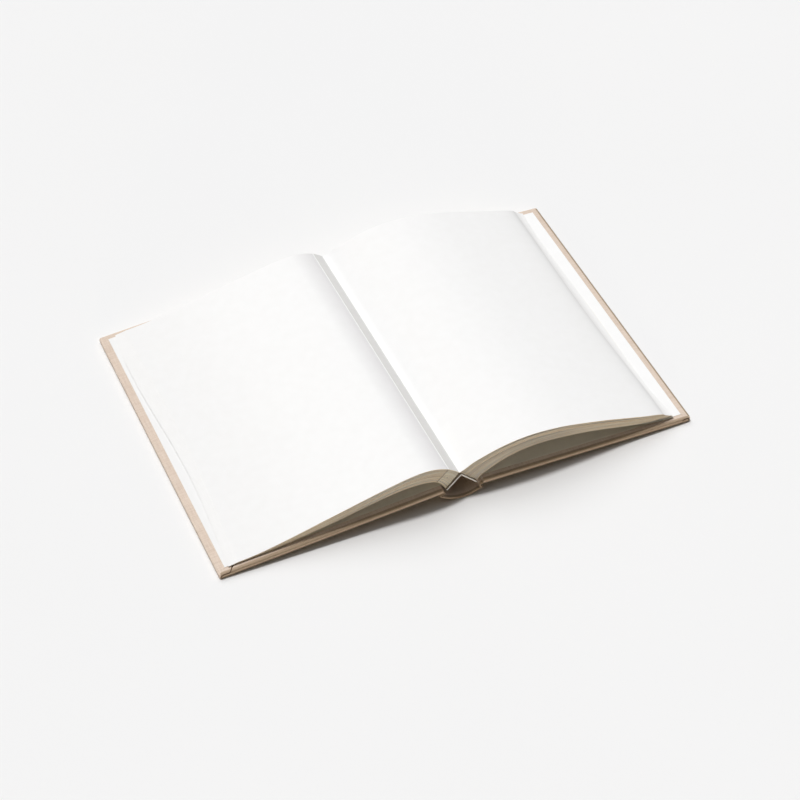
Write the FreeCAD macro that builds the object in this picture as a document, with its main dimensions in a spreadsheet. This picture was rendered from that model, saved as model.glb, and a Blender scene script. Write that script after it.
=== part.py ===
import FreeCAD, Part
import math
import os
import Sketcher
from FreeCAD import Vector, Placement, Rotation

# ---------------------------------------------------------------------------
# An open case-bound book, lying face up, opened at its middle.
# Frame: X across the spread, Y from tail to head, Z up, origin on the surface
# under the centre of the spread.  All sizes are millimetres and degrees.
# ---------------------------------------------------------------------------

doc = FreeCAD.newDocument("OpenBook")

dims = doc.addObject("Spreadsheet::Sheet", "Dims")
table = [
    # alias, value, what it is
    ("frontReach", 158.8, "from the middle of the spread to the front fore-edge"),
    ("backReach", 157.5, "from the middle of the spread to the back fore-edge"),
    ("caseHeight", 216.0, "covered board, head to tail"),
    ("pageHeight", 209.0, "leaves, head to tail"),
    ("frontWidth", 145.3, "covered front board, fore-edge to spine edge"),
    ("backWidth", 144.7, "covered back board, fore-edge to spine edge"),
    ("frontTilt", 3.67, "slope of the front board up to the spine"),
    ("backTilt", 2.583, "slope of the back board up to the spine"),
    ("boardThick", 2.40, "grey board"),
    ("clothThick", 0.45, "covering material"),
    ("paperThick", 0.20, "endpaper"),
    ("turnIn", 15.0, "width of the covering turned over the board"),
    ("edgeRound", 0.80, "rounding of the covered edges"),
    ("cornerRound", 1.20, "rounding of the covered corners"),
    ("innerRound", 0.40, "rounding of the turned edges on the inner face"),
    ("marginFore", 5.2, "board left bare of endpaper at the fore-edge"),
    ("marginTail", 4.2, "board left bare of endpaper at head and tail"),
    ("dishSlope", 0.7, "endpaper step inside the turn-in"),
    ("easeWidth", 3.0, "covering eased off the spine edge of the front board"),
    ("easeDepth", 0.12, "depth of that easing"),
    ("inlayThick", 0.60, "spine inlay card"),
    ("inlayHeight", 214.8, "spine inlay, head to tail"),
    ("inlayEnd", 1.6, "inlay kept back from the folds at the strip's edges"),
    ("liningThick", 0.90, "lining glued over the folds of the leaves"),
    ("liningHeight", 209.8, "lining, head to tail"),
    ("leafGap", 0.03, "between the block and its outer leaves"),
    ("leafThick", 0.22, "flyleaf"),
]
for row, (alias, value, note) in enumerate(table, start=1):
    dims.set("A%d" % row, note)
    dims.set("B%d" % row, str(value))
    dims.setAlias("B%d" % row, alias)

# Sections at the tail, as heights over distance across the spread.
# Each list runs from the left to the right.
sections = {
    # upper faces of the leaves that lie open
    "topLeft": [(-143.3, 6.05), (-135.3, 7.0), (-125.1, 8.9), (-105.8, 13.2),
                (-89.1, 17.3), (-73.6, 21.1), (-58.0, 24.9), (-41.1, 28.5),
                (-30.7, 30.1), (-22.9, 30.2), (-14.9, 28.4), (-9.4, 25.7)],
    "topGutterLeft": [(-9.4, 25.7), (-5.2, 22.9), (-2.0, 20.0)],
    "topRight": [(-2.0, 20.0), (1.4, 21.6), (5.1, 23.8), (9.1, 25.7),
                 (17.0, 28.4), (24.9, 30.6), (36.9, 32.8), (49.1, 33.0),
                 (65.5, 31.3), (78.0, 28.4), (94.9, 23.9), (107.8, 20.0),
                 (120.8, 16.0), (129.5, 13.4), (136.2, 11.2)],
    # lower faces of the two halves of the block
    "underLeft": [(-149.8, 4.72), (-142.6, 5.15), (-131.7, 5.9), (-120.0, 6.9),
                  (-106.1, 8.75), (-90.0, 11.2), (-73.8, 14.4), (-57.6, 17.9),
                  (-41.3, 20.5), (-31.4, 20.8), (-21.5, 19.5), (-17.0, 17.3),
                  (-13.6, 14.3), (-11.9, 11.9), (-10.9, 9.9)],
    "underRight": [(10.4, 8.4), (12.4, 10.6), (15.6, 12.8), (20.0, 15.2),
                   (25.3, 17.7), (35.3, 20.8), (45.4, 22.1), (55.6, 22.2),
                   (65.9, 21.2), (79.8, 19.0), (93.9, 15.9), (108.2, 12.2),
                   (122.6, 8.7), (133.3, 6.6), (141.0, 5.2), (145.7, 4.65)],
    # fold line of the spine lining: foot, apex, foot
    "lining": [(-10.4, 8.6), (-1.1, 18.35), (10.3, 6.3)],
    # outer face of the bowed spine strip, between its two folded edges
    "strip": [(-16.25, 7.35), (-14.2, 5.35), (-11.4, 3.35), (-5.6, 0.87),
              (0.2, 0.0), (6.4, 0.8), (9.8, 2.0), (12.15, 3.2)],
}
row = len(table) + 3
for name in sorted(sections):
    for index, (across, height) in enumerate(sections[name]):
        letter = "abcdefghijklmnopqrstuvwxyz"[index]
        dims.set("A%d" % row, name)
        dims.set("B%d" % row, str(across))
        dims.setAlias("B%d" % row, "%s_across_%s" % (name, letter))
        dims.set("C%d" % row, str(height))
        dims.setAlias("C%d" % row, "%s_height_%s" % (name, letter))
        row += 1
doc.recompute()


def size(alias):
    return float(getattr(dims, alias))


def line_of(name):
    points = []
    for index in range(len(sections[name])):
        letter = "abcdefghijklmnopqrstuvwxyz"[index]
        points.append((size("%s_across_%s" % (name, letter)),
                       size("%s_height_%s" % (name, letter))))
    return points


def new_body(label):
    body = doc.addObject("PartDesign::Body", label)
    body.Label = label
    return body


def origin_plane(body, role):
    for feature in body.Origin.OriginFeatures:
        if feature.Role == role:
            return feature
    raise RuntimeError("no plane " + role)


def new_sketch(body, name, role, lift=None):
    sketch = body.newObject("Sketcher::SketchObject", name)
    sketch.AttachmentSupport = [(origin_plane(body, role), "")]
    sketch.MapMode = "FlatFace"
    if lift is not None:
        sketch.setExpression("AttachmentOffset.Base.z", lift)
    return sketch


def add_rectangle(sketch, tag, left, right, tall):
    """A rectangle from left to right along the sketch's x, centred on it in y.
    left, right and tall are expressions; left may be None for the y axis."""
    def value(text):
        for alias, number, note in table:
            text = text.replace("Dims." + alias, repr(float(number)))
        return eval_sum(text)
    x0 = 0.0 if left is None else value(left)
    x1 = value(right)
    half = value(tall) / 2.0
    corners = [(x0, -half), (x1, -half), (x1, half), (x0, half)]
    first = sketch.GeometryCount
    for i in range(4):
        a, b = corners[i], corners[(i + 1) % 4]
        sketch.addGeometry(Part.LineSegment(Vector(a[0], a[1], 0), Vector(b[0], b[1], 0)))
    for i in range(4):
        sketch.addConstraint(Sketcher.Constraint("Coincident", first + i, 2, first + (i + 1) % 4, 1))
    sketch.addConstraint(Sketcher.Constraint("Horizontal", first))
    sketch.addConstraint(Sketcher.Constraint("Horizontal", first + 2))
    sketch.addConstraint(Sketcher.Constraint("Vertical", first + 3))
    sketch.addConstraint(Sketcher.Constraint("Symmetric", first + 1, 1, first + 1, 2, -1))
    c = sketch.addConstraint(Sketcher.Constraint("DistanceY", first + 1, 1, first + 1, 2, 2 * half))
    sketch.renameConstraint(c, tag + "Tall")
    sketch.setExpression("Constraints." + tag + "Tall", tall)
    if left is None:
        sketch.addConstraint(Sketcher.Constraint("PointOnObject", first, 1, -2))
    else:
        c = sketch.addConstraint(Sketcher.Constraint("DistanceX", -1, 1, first, 1, x0))
        sketch.renameConstraint(c, tag + "Near")
        sketch.setExpression("Constraints." + tag + "Near", left)
    c = sketch.addConstraint(Sketcher.Constraint("DistanceX", -1, 1, first, 2, x1))
    sketch.renameConstraint(c, tag + "Far")
    sketch.setExpression("Constraints." + tag + "Far", right)


def eval_sum(text):
    """The value of a sum of numbers and of products of two numbers."""
    total = 0.0
    for term in text.replace(" ", "").replace("-", "+-").split("+"):
        if not term:
            continue
        product = 1.0
        for factor in term.split("*"):
            product *= float(factor)
        total += product
    return total


def pad(body, sketch, name, length, both=False):
    feature = body.newObject("PartDesign::Pad", name)
    feature.Profile = sketch
    feature.setExpression("Length", length)
    if both:
        if "SideType" in feature.PropertiesList:
            feature.SideType = "Symmetric"
        else:
            feature.Midplane = True
    sketch.Visibility = False
    body.Tip = feature
    doc.recompute()
    return feature


def pocket(body, sketch, name, length, both=False):
    before = body.Shape.Volume
    feature = body.newObject("PartDesign::Pocket", name)
    feature.Profile = sketch
    feature.setExpression("Length", length)
    if both:
        if "SideType" in feature.PropertiesList:
            feature.SideType = "Symmetric"
        else:
            feature.Midplane = True
    sketch.Visibility = False
    body.Tip = feature
    doc.recompute()
    if body.Shape.Volume > before - 1.0:
        raise RuntimeError("pocket %s cut nothing" % name)
    return feature


def round_edges(body, base, name, radius, chosen):
    names = ["Edge%d" % (i + 1) for i, edge in enumerate(base.Shape.Edges) if chosen(edge)]
    feature = body.newObject("PartDesign::Fillet", name)
    feature.Base = (base, names)
    feature.setExpression("Radius", radius)
    body.Tip = feature
    doc.recompute()
    return feature


# ---------------------------------------------------------------------------
# The two covers.  Each is made flat, from its fore-edge along +x to its spine
# edge, outer face down, and then laid at its slope.
# ---------------------------------------------------------------------------

def lay_cover(body, side):
    tilt = math.radians(size(side + "Tilt"))
    reach = size(side + "Reach")
    if side == "front":
        turn = Rotation(Vector(0, -1, 0), math.degrees(tilt))
    else:
        turn = Rotation(Vector(0, 1, 0), math.degrees(tilt)).multiply(Rotation(Vector(0, 0, 1), 180.0))
    body.Placement = Placement(Vector(-reach if side == "front" else reach, 0, 0), turn)
    drop = "-Dims.edgeRound * (sin(Dims.%sTilt * 1deg) + cos(Dims.%sTilt * 1deg) - 1)" % (side, side)
    body.setExpression("Placement.Base.z", drop)
    sign = "-" if side == "front" else ""
    body.setExpression("Placement.Base.x", "%sDims.%sReach" % (sign, side))


def make_cover(side):
    width = "Dims.%sWidth" % side

    # grey board
    board = new_body(side + "_board")
    s = new_sketch(board, side + "BoardOutline", "XY_Plane", "Dims.clothThick")
    add_rectangle(s, "board", "Dims.clothThick", width, "Dims.caseHeight - 2 * Dims.clothThick")
    pad(board, s, side + "BoardPad", "Dims.boardThick")
    lay_cover(board, side)

    # covering sheet: outer face, three wrapped edges and their turn-ins
    cloth = new_body("cover_cloth_" + side)
    s = new_sketch(cloth, side + "ClothOutline", "XY_Plane")
    add_rectangle(s, "cloth", None, width, "Dims.caseHeight")
    base = pad(cloth, s, side + "ClothPad", "Dims.boardThick + 2 * Dims.clothThick")
    w, h = size(side + "Width"), size("caseHeight") / 2.0
    thick = size("boardThick") + 2 * size("clothThick")

    def upright(edge):
        c = edge.BoundBox
        return c.ZLength > 0.5 * thick and c.XMax < 0.01

    base = round_edges(cloth, base, side + "CornerRound", "Dims.cornerRound", upright)

    def low(edge):
        c = edge.BoundBox
        return c.ZMax < 0.01 and not (c.XMin > w - 0.01)

    base = round_edges(cloth, base, side + "OuterRound", "Dims.edgeRound", low)

    def high(edge):
        c = edge.BoundBox
        return c.ZMin > thick - 0.01 and not (c.XMin > w - 0.01)

    base = round_edges(cloth, base, side + "InnerRound", "Dims.innerRound", high)
    s = new_sketch(cloth, side + "BoardRoom", "YZ_Plane", width)
    y, lo, hi = h - size("clothThick"), size("clothThick"), size("clothThick") + size("boardThick")
    pts = [(-y, lo), (y, lo), (y, hi), (-y, hi)]
    for i in range(4):
        a, b = pts[i], pts[(i + 1) % 4]
        s.addGeometry(Part.LineSegment(Vector(a[0], a[1], 0), Vector(b[0], b[1], 0)))
    for i in range(4):
        s.addConstraint(Sketcher.Constraint("Coincident", i, 2, (i + 1) % 4, 1))
    s.addConstraint(Sketcher.Constraint("Horizontal", 2))
    s.addConstraint(Sketcher.Constraint("Vertical", 1))
    s.addConstraint(Sketcher.Constraint("Vertical", 3))
    s.addConstraint(Sketcher.Constraint("Symmetric", 0, 1, 0, 2, -2))
    for tag, kind, args, number, text in (
            ("roomTall", "DistanceX", (0, 1, 0, 2), 2 * y, "Dims.caseHeight - 2 * Dims.clothThick"),
            ("roomLow", "DistanceY", (-1, 1, 0, 1), lo, "Dims.clothThick"),
            ("roomThick", "DistanceY", (1, 1, 1, 2), hi - lo, "Dims.boardThick")):
        c = s.addConstraint(Sketcher.Constraint(kind, *args, number))
        s.renameConstraint(c, tag)
        s.setExpression("Constraints." + tag, text)
    pocket(cloth, s, side + "BoardPocket", "%s - Dims.clothThick" % width)
    s = new_sketch(cloth, side + "TurnInWindow", "XY_Plane", "Dims.boardThick + 2 * Dims.clothThick")
    add_rectangle(s, "window", "Dims.turnIn", width + " + 2", "Dims.caseHeight - 2 * Dims.turnIn")
    pocket(cloth, s, side + "TurnInPocket", "Dims.clothThick + 0.01")
    if side == "front":
        # towards the joint the covering lifts a little off the board's edge
        s = new_sketch(cloth, side + "Ease", "XZ_Plane")
        wedge = [(w - size("easeWidth"), 0.0), (w + 1.0, -0.5), (w + 1.0, size("easeDepth") * (1 + 1.0 / size("easeWidth")))]
        draw_outline(s, [("l", wedge + wedge[:1])])
        pocket(cloth, s, side + "EasePocket", "Dims.caseHeight + 2", both=True)
    lay_cover(cloth, side)

    # pasted half of the endpaper: dished where it comes down off the turn-ins
    paste = new_body(side + "_pastedown")
    s = new_sketch(paste, side + "PasteOutline", "XY_Plane", "Dims.boardThick + Dims.clothThick + 0.01")
    add_rectangle(s, "paste", "Dims.marginFore", width, "Dims.caseHeight - 2 * Dims.marginTail")
    pad(paste, s, side + "PastePad", "Dims.clothThick + Dims.paperThick")
    s = new_sketch(paste, side + "PasteDish", "XY_Plane",
                   "Dims.boardThick + 2 * Dims.clothThick + Dims.paperThick + 0.01")
    add_rectangle(s, "dish", "Dims.turnIn + Dims.dishSlope", width + " + 2",
                  "Dims.caseHeight - 2 * Dims.turnIn - 2 * Dims.dishSlope")
    pocket(paste, s, side + "DishPocket", "Dims.clothThick")
    s = new_sketch(paste, side + "PasteRebate", "XY_Plane", "Dims.boardThick + 2 * Dims.clothThick + 0.01")
    add_rectangle(s, "outer", None, width + " + 4", "Dims.caseHeight")
    add_rectangle(s, "inner", "Dims.turnIn + 0.02", width + " + 2", "Dims.caseHeight - 2 * Dims.turnIn - 0.04")
    pocket(paste, s, side + "RebatePocket", "Dims.clothThick + 0.02")
    lay_cover(paste, side)
    return [board, cloth, paste]


# ---------------------------------------------------------------------------
# Sections across the spread, drawn in the plane of X and Z
# ---------------------------------------------------------------------------

def spline(points):
    curve = Part.BSplineCurve()
    curve.interpolate([Vector(p[0], p[1], 0) for p in points])
    return curve


def offset_line(points, distance, count=60):
    """Points beside a smooth line, to its left hand when distance is positive."""
    curve = spline(points)
    first, last = curve.FirstParameter, curve.LastParameter
    out = []
    for i in range(count + 1):
        u = first + (last - first) * i / float(count)
        p = curve.value(u)
        t = curve.tangent(u)[0]
        out.append((p.x - t.y * distance, p.y + t.x * distance))
    return out


def rounded_path(points, radius, step=6):
    """A run of straight lines with each inner corner rounded."""
    out = [points[0]]
    for i in range(1, len(points) - 1):
        a, b, c = [Vector(q[0], q[1], 0) for q in points[i - 1:i + 2]]
        u = (a - b).normalize()
        v = (c - b).normalize()
        angle = math.acos(max(-1.0, min(1.0, u.dot(v))))
        reach = radius[i - 1] / math.tan(angle / 2.0)
        mid = (u + v).normalize()
        centre = b + mid * (radius[i - 1] / math.sin(angle / 2.0))
        start = b + u * reach
        end = b + v * reach
        a0 = math.atan2(start.y - centre.y, start.x - centre.x)
        a1 = math.atan2(end.y - centre.y, end.x - centre.x)
        turn = a1 - a0
        while turn > math.pi:
            turn -= 2 * math.pi
        while turn < -math.pi:
            turn += 2 * math.pi
        for k in range(step + 1):
            w = a0 + turn * k / float(step)
            out.append((centre.x + radius[i - 1] * math.cos(w), centre.y + radius[i - 1] * math.sin(w)))
    out.append(points[-1])
    return out


def beside(path, distance):
    """The same polyline moved sideways, with its corners kept."""
    out = []
    n = len(path)
    for i in range(n):
        p = Vector(path[i][0], path[i][1], 0)
        before = Vector(path[max(i - 1, 0)][0], path[max(i - 1, 0)][1], 0)
        after = Vector(path[min(i + 1, n - 1)][0], path[min(i + 1, n - 1)][1], 0)
        d1 = (p - before) if i > 0 else (after - p)
        d2 = (after - p) if i < n - 1 else (p - before)
        d1.normalize()
        d2.normalize()
        m = d1 + d2
        m.normalize()
        scale = 1.0 / max(0.35, m.dot(d1))
        out.append((p.x - m.y * distance * scale, p.y + m.x * distance * scale))
    return out


def draw_outline(sketch, pieces):
    """pieces: ('s', points) a smooth curve, ('l', points) straight runs."""
    for kind, points in pieces:
        if kind == "s":
            first = sketch.GeometryCount
            sketch.addGeometry(spline(points))
            sketch.addConstraint(Sketcher.Constraint("Block", first))
        else:
            for a, b in zip(points[:-1], points[1:]):
                first = sketch.GeometryCount
                sketch.addGeometry(Part.LineSegment(Vector(a[0], a[1], 0), Vector(b[0], b[1], 0)))
                sketch.addConstraint(Sketcher.Constraint("Block", first))


def prism(label, pieces, length):
    body = new_body(label)
    sketch = new_sketch(body, label + "_section", "XZ_Plane")
    draw_outline(sketch, pieces)
    pad(body, sketch, label + "_pad", length, both=True)
    return body


# text block: every leaf, both halves, joined at the folds along the spine
topL, topG, topR = line_of("topLeft"), line_of("topGutterLeft"), line_of("topRight")
underL, underR = line_of("underLeft"), line_of("underRight")
foldL, apex, foldR = line_of("lining")
half = size("liningThick") / 2.0


def unit(a, b):
    d = Vector(b[0] - a[0], b[1] - a[1], 0)
    return d.normalize()


left_leg, right_leg = unit(foldL, apex), unit(apex, foldR)
left_out = Vector(-left_leg.y, left_leg.x, 0)      # towards the left half of the block
right_out = Vector(-right_leg.y, right_leg.x, 0)   # towards the right half


def moved(point, direction, distance):
    return (point[0] + direction.x * distance, point[1] + direction.y * distance)


def crossing(p, d, q, e):
    """Where the line through p along d meets the line through q along e."""
    det = d.x * (-e.y) + e.x * d.y
    rx, ry = q[0] - p[0], q[1] - p[1]
    k = (rx * (-e.y) + e.x * ry) / det
    return (p[0] + d.x * k, p[1] + d.y * k)


clear = 0.04
nearL, nearR = moved(foldL, left_out, half + clear), moved(foldR, right_out, half + clear)
block_apex = crossing(nearL, left_leg, nearR, right_leg)
block_footL = (underL[-1][0], underL[-1][1])
block_footR = (underR[0][0], underR[0][1])
# the feet lie on the glued faces of the two halves
footL = crossing(nearL, left_leg, block_footL, Vector(-left_leg.y, left_leg.x, 0))
footR = crossing(nearR, right_leg, block_footR, Vector(-right_leg.y, right_leg.x, 0))
underL = underL[:-1] + [footL]
underR = [footR] + underR[1:]
foreL = [underL[0], (underL[0][0], underL[0][1] + 0.25), topL[0]]
foreR = [topR[-1], (underR[-1][0], underR[-1][1] + 0.25), underR[-1]]
text_block = prism("text_block", [
    ("s", topL), ("s", topG), ("s", topR), ("l", foreR), ("s", underR[::-1]),
    ("l", [footR, block_apex, footL]), ("s", underL[::-1]), ("l", foreL),
], "Dims.pageHeight")

# spine lining: one strip folded to an inverted V by the opening of the book
outerL, outerR = moved(foldL, left_out, half), moved(foldR, right_out, half)
innerL, innerR = moved(foldL, left_out, -half), moved(foldR, right_out, -half)
lining_top = crossing(outerL, left_leg, outerR, right_leg)
lining_low = crossing(innerL, left_leg, innerR, right_leg)
spine_lining = prism("spine_lining", [
    ("l", [outerL, lining_top, outerR, innerR, lining_low, innerL, outerL]),
], "Dims.liningHeight")


# flyleaves: the free halves of the endpapers, under the two halves of the block
def flyleaf(label, under, flip):
    near = offset_line(under, flip * size("leafGap"))
    far = offset_line(under, flip * (size("leafGap") + size("leafThick")))
    return prism(label, [("s", near), ("l", [near[-1], far[-1]]), ("s", far[::-1]), ("l", [far[0], near[0]])],
                 "Dims.pageHeight")


front_flyleaf = flyleaf("front_flyleaf", underL[:-2] + [(-12.4, 12.65)], -1)
back_flyleaf = flyleaf("back_flyleaf", [(11.6, 9.75)] + underR[1:], -1)

# spine strip of the covering, bowed between its folded edges, with the two
# joints that come up from its edges to the shoulders of the block
strip = line_of("strip")
ct = size("clothThick")
centre = offset_line(strip, ct / 2.0, 40)
left_turn = rounded_path([(-12.78, 12.45), (-12.8, 8.72), (-16.7, 8.0), centre[3]], [0.7, 0.42])
right_turn = rounded_path([centre[-4], (12.75, 3.68), (11.2, 5.6), (11.75, 9.25)], [0.42, 0.6])
# the bowed run between the two folded edges is one smooth curve
path = left_turn[:-1] + centre[3:-3] + right_turn[1:]
i, j = len(left_turn) - 1, len(left_turn) - 1 + len(centre[3:-3])
sideA = beside(path, ct / 2.0)
sideB = beside(path, -ct / 2.0)
cover_cloth_spine = prism("cover_cloth_spine", [
    ("l", sideA[:i + 1]), ("s", sideA[i:j]), ("l", sideA[j - 1:]), ("l", [sideA[-1], sideB[-1]]),
    ("l", sideB[j - 1:][::-1]), ("s", sideB[i:j][::-1]), ("l", sideB[:i + 1][::-1]),
    ("l", [sideB[0], sideA[0]]),
], "Dims.caseHeight")

# spine inlay: a strip of card inside the bow of the covering
inner_face = offset_line(strip, ct + 0.03, 80)
keep = int(80 * size("inlayEnd") / 31.0) + 1
low_face = inner_face[keep:-keep]
high_face = offset_line(strip, ct + 0.03 + size("inlayThick"), 80)[keep:-keep]
spine_inlay = prism("spine_inlay", [
    ("s", low_face), ("l", [low_face[-1], high_face[-1]]), ("s", high_face[::-1]),
    ("l", [high_face[0], low_face[0]]),
], "Dims.inlayHeight")

bodies = [text_block, spine_lining, front_flyleaf, back_flyleaf, cover_cloth_spine, spine_inlay]
bodies += make_cover("front")
bodies += make_cover("back")
doc.recompute()

# ---------------------------------------------------------------------------
# Test every object and every sub-part, then write the parts
# ---------------------------------------------------------------------------
bad = []
for obj in doc.Objects:
    if "Invalid" in obj.State or "Error" in obj.State:
        bad.append("%s %s" % (obj.Name, obj.State))
for body in bodies:
    shape = body.Shape
    if shape.isNull() or not shape.isValid():
        bad.append("%s has no valid shape" % body.Label)
    elif len(shape.Solids) != 1:
        bad.append("%s has %d solids" % (body.Label, len(shape.Solids)))
if bad:
    raise RuntimeError("; ".join(bad))

os.makedirs("parts", exist_ok=True)
for body in bodies:
    body.Shape.exportStep("parts/%s.step" % body.Label)
    b = body.Shape.BoundBox
    print("%-20s volume %9.1f  x %8.2f %8.2f  y %8.2f %8.2f  z %6.2f %6.2f" % (
        body.Label, body.Shape.Volume, b.XMin, b.XMax, b.YMin, b.YMax, b.ZMin, b.ZMax))
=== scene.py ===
import math

import bpy
import numpy as np
from mathutils import Matrix, Vector


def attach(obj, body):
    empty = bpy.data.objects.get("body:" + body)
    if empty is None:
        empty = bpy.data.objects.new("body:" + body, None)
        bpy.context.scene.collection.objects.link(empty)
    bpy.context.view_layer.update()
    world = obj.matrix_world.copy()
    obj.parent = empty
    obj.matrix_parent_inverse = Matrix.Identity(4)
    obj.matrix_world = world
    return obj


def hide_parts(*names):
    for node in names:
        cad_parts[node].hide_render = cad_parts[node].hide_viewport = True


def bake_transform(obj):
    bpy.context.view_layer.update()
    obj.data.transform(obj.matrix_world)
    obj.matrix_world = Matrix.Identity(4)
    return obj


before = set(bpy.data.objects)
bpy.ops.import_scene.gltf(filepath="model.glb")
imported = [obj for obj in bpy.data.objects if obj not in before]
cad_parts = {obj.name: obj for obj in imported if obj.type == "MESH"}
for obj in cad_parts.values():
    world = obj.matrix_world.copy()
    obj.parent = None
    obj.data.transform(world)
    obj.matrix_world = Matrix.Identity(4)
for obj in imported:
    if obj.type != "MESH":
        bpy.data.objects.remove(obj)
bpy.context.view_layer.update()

scene = bpy.context.scene
rng = np.random.default_rng(2207)
MM = 0.001

PAGE = 104.5        # half the page height
CASE = 108.0        # half the cover height
CLOTH = 0.45
BOARD = 2.40
PASTE = 0.20


# ---------------------------------------------------------------------------
# Curves and meshes (all lengths in mm until the mesh is made)
# ---------------------------------------------------------------------------
def spline(points, dense=1500):
    """A natural cubic curve through the points, as many short chords."""
    p = np.array(points, float)
    t = np.concatenate([[0], np.cumsum(np.sqrt(np.linalg.norm(np.diff(p, axis=0), axis=1)))])
    n, h = len(p), np.diff(t)
    a, b = np.zeros((n, n)), np.zeros((n, p.shape[1]))
    a[0, 0] = a[-1, -1] = 1
    for i in range(1, n - 1):
        a[i, i - 1], a[i, i], a[i, i + 1] = h[i - 1], 2 * (h[i - 1] + h[i]), h[i]
        b[i] = 6 * ((p[i + 1] - p[i]) / h[i] - (p[i] - p[i - 1]) / h[i - 1])
    m = np.linalg.solve(a, b)
    u = np.linspace(0, t[-1], dense)
    k = np.clip(np.searchsorted(t, u, side="right") - 1, 0, n - 2)
    w0, w1 = ((t[k + 1] - u) / h[k])[:, None], ((u - t[k]) / h[k])[:, None]
    return (w0 * p[k] + w1 * p[k + 1]
            + ((w0**3 - w0) * m[k] + (w1**3 - w1) * m[k + 1]) * (h[k] ** 2)[:, None] / 6)


def lengths(curve):
    return np.concatenate([[0], np.cumsum(np.linalg.norm(np.diff(curve, axis=0), axis=1))])


def at(curve, fractions):
    """Points of a curve at these shares of its length; past its ends it goes on straight."""
    s = lengths(curve)
    s /= s[-1]
    f = np.asarray(fractions, float)
    out = np.stack([np.interp(f, s, curve[:, i]) for i in range(curve.shape[1])], -1)
    step = (curve[-1] - curve[-12]) / (s[-1] - s[-12])
    over = np.clip(f - 1, 0, None)[..., None]
    return out + over * step


def smooth(a, b, x):
    t = np.clip((np.asarray(x, float) - a) / (b - a), 0, 1)
    return t * t * (3 - 2 * t)


def make(name, verts, faces, materials, face_material=None, uv=None, sharp=32.0):
    """A smooth-shaded mesh object from points in mm, with one UV (in mm) for each face corner."""
    mesh = bpy.data.meshes.new(name)
    mesh.from_pydata((np.asarray(verts, float) * MM).tolist(), [], [list(map(int, f)) for f in faces])
    for m in materials:
        mesh.materials.append(m)
    if face_material is not None:
        kind = np.minimum(np.asarray(face_material), len(materials) - 1)
        mesh.polygons.foreach_set("material_index", kind.astype(np.int32))
    if uv is not None:
        layer = mesh.uv_layers.new(name="UVMap")
        layer.data.foreach_set("uv", np.asarray(uv, np.float32).ravel())
    mesh.shade_smooth()
    mesh.set_sharp_from_angle(angle=math.radians(sharp))
    mesh.update()
    obj = bpy.data.objects.new(name, mesh)
    scene.collection.objects.link(obj)
    return obj


def closed_sheet(top, bottom, uv):
    """Vertices, faces, rim flags and corner UVs of a thin solid between two grids."""
    nu, nv = top.shape[:2]
    verts = np.concatenate([top.reshape(-1, 3), bottom.reshape(-1, 3)])
    idx = np.arange(nu * nv).reshape(nu, nv)
    a, b, c, d = idx[:-1, :-1], idx[1:, :-1], idx[1:, 1:], idx[:-1, 1:]
    up = np.stack([a, b, c, d], -1).reshape(-1, 4)
    n = nu * nv
    faces = [up, up[:, ::-1] + n]
    for line in (idx[:, 0][::-1], idx[-1, :][::-1], idx[:, -1], idx[0, :]):
        p, q = line[:-1], line[1:]
        faces.append(np.stack([p, q, q + n, p + n], -1))
    rim = np.zeros(sum(map(len, faces)), int)
    rim[2 * len(up):] = np.repeat([1, 2, 1, 2], [nu - 1, nv - 1, nu - 1, nv - 1])
    faces = np.concatenate(faces)
    flat = np.concatenate([uv.reshape(-1, 2), uv.reshape(-1, 2)])
    corner = flat[faces]
    corner[2 * len(up):, 2:, :] += 0.13
    return verts, faces, rim, corner


def join(parts):
    """Several closed sheets as the vertices, faces, flags and UVs of one mesh."""
    verts, faces, rim, uv, n = [], [], [], [], 0
    for v, f, r, c in parts:
        verts.append(v), faces.append(f + n), rim.append(r), uv.append(c.reshape(-1, 2))
        n += len(v)
    return np.concatenate(verts), np.concatenate(faces), np.concatenate(rim), np.concatenate(uv)


# ---------------------------------------------------------------------------
# Materials
# ---------------------------------------------------------------------------
def material(name):
    m = bpy.data.materials.new(name)
    m.use_nodes = True
    tree = m.node_tree
    tree.nodes.clear()
    out = tree.nodes.new("ShaderNodeOutputMaterial")
    bsdf = tree.nodes.new("ShaderNodeBsdfPrincipled")
    tree.links.new(bsdf.outputs["BSDF"], out.inputs["Surface"])
    return m, tree, bsdf


def node(tree, kind, **values):
    n = tree.nodes.new(kind)
    for key, value in values.items():
        if hasattr(n, key):
            setattr(n, key, value)
        else:
            n.inputs[key.replace("_", " ")].default_value = value
    return n


def ramp(tree, source, stops):
    n = tree.nodes.new("ShaderNodeValToRGB")
    while len(n.color_ramp.elements) < len(stops):
        n.color_ramp.elements.new(0.5)
    for element, (place, colour) in zip(n.color_ramp.elements, stops):
        element.position = place
        element.color = (*colour, 1)
    tree.links.new(source, n.inputs["Fac"])
    return n.outputs["Color"]


def times(tree, a, b):
    """Two colours multiplied."""
    n = tree.nodes.new("ShaderNodeMix")
    n.data_type = "RGBA"
    n.blend_type = "MULTIPLY"
    n.inputs["Factor"].default_value = 1.0
    tree.links.new(a, n.inputs[6])
    tree.links.new(b, n.inputs[7])
    return n.outputs[2]


def noise(tree, coords, scale, detail=3.0, stretch=None, roughness=0.5):
    if stretch is not None:
        mapping = tree.nodes.new("ShaderNodeMapping")
        mapping.inputs["Scale"].default_value = stretch
        tree.links.new(coords, mapping.inputs["Vector"])
        coords = mapping.outputs["Vector"]
    n = tree.nodes.new("ShaderNodeTexNoise")
    n.inputs["Scale"].default_value = scale
    n.inputs["Detail"].default_value = detail
    n.inputs["Roughness"].default_value = roughness
    tree.links.new(coords, n.inputs["Vector"])
    return n.outputs["Fac"]


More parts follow.
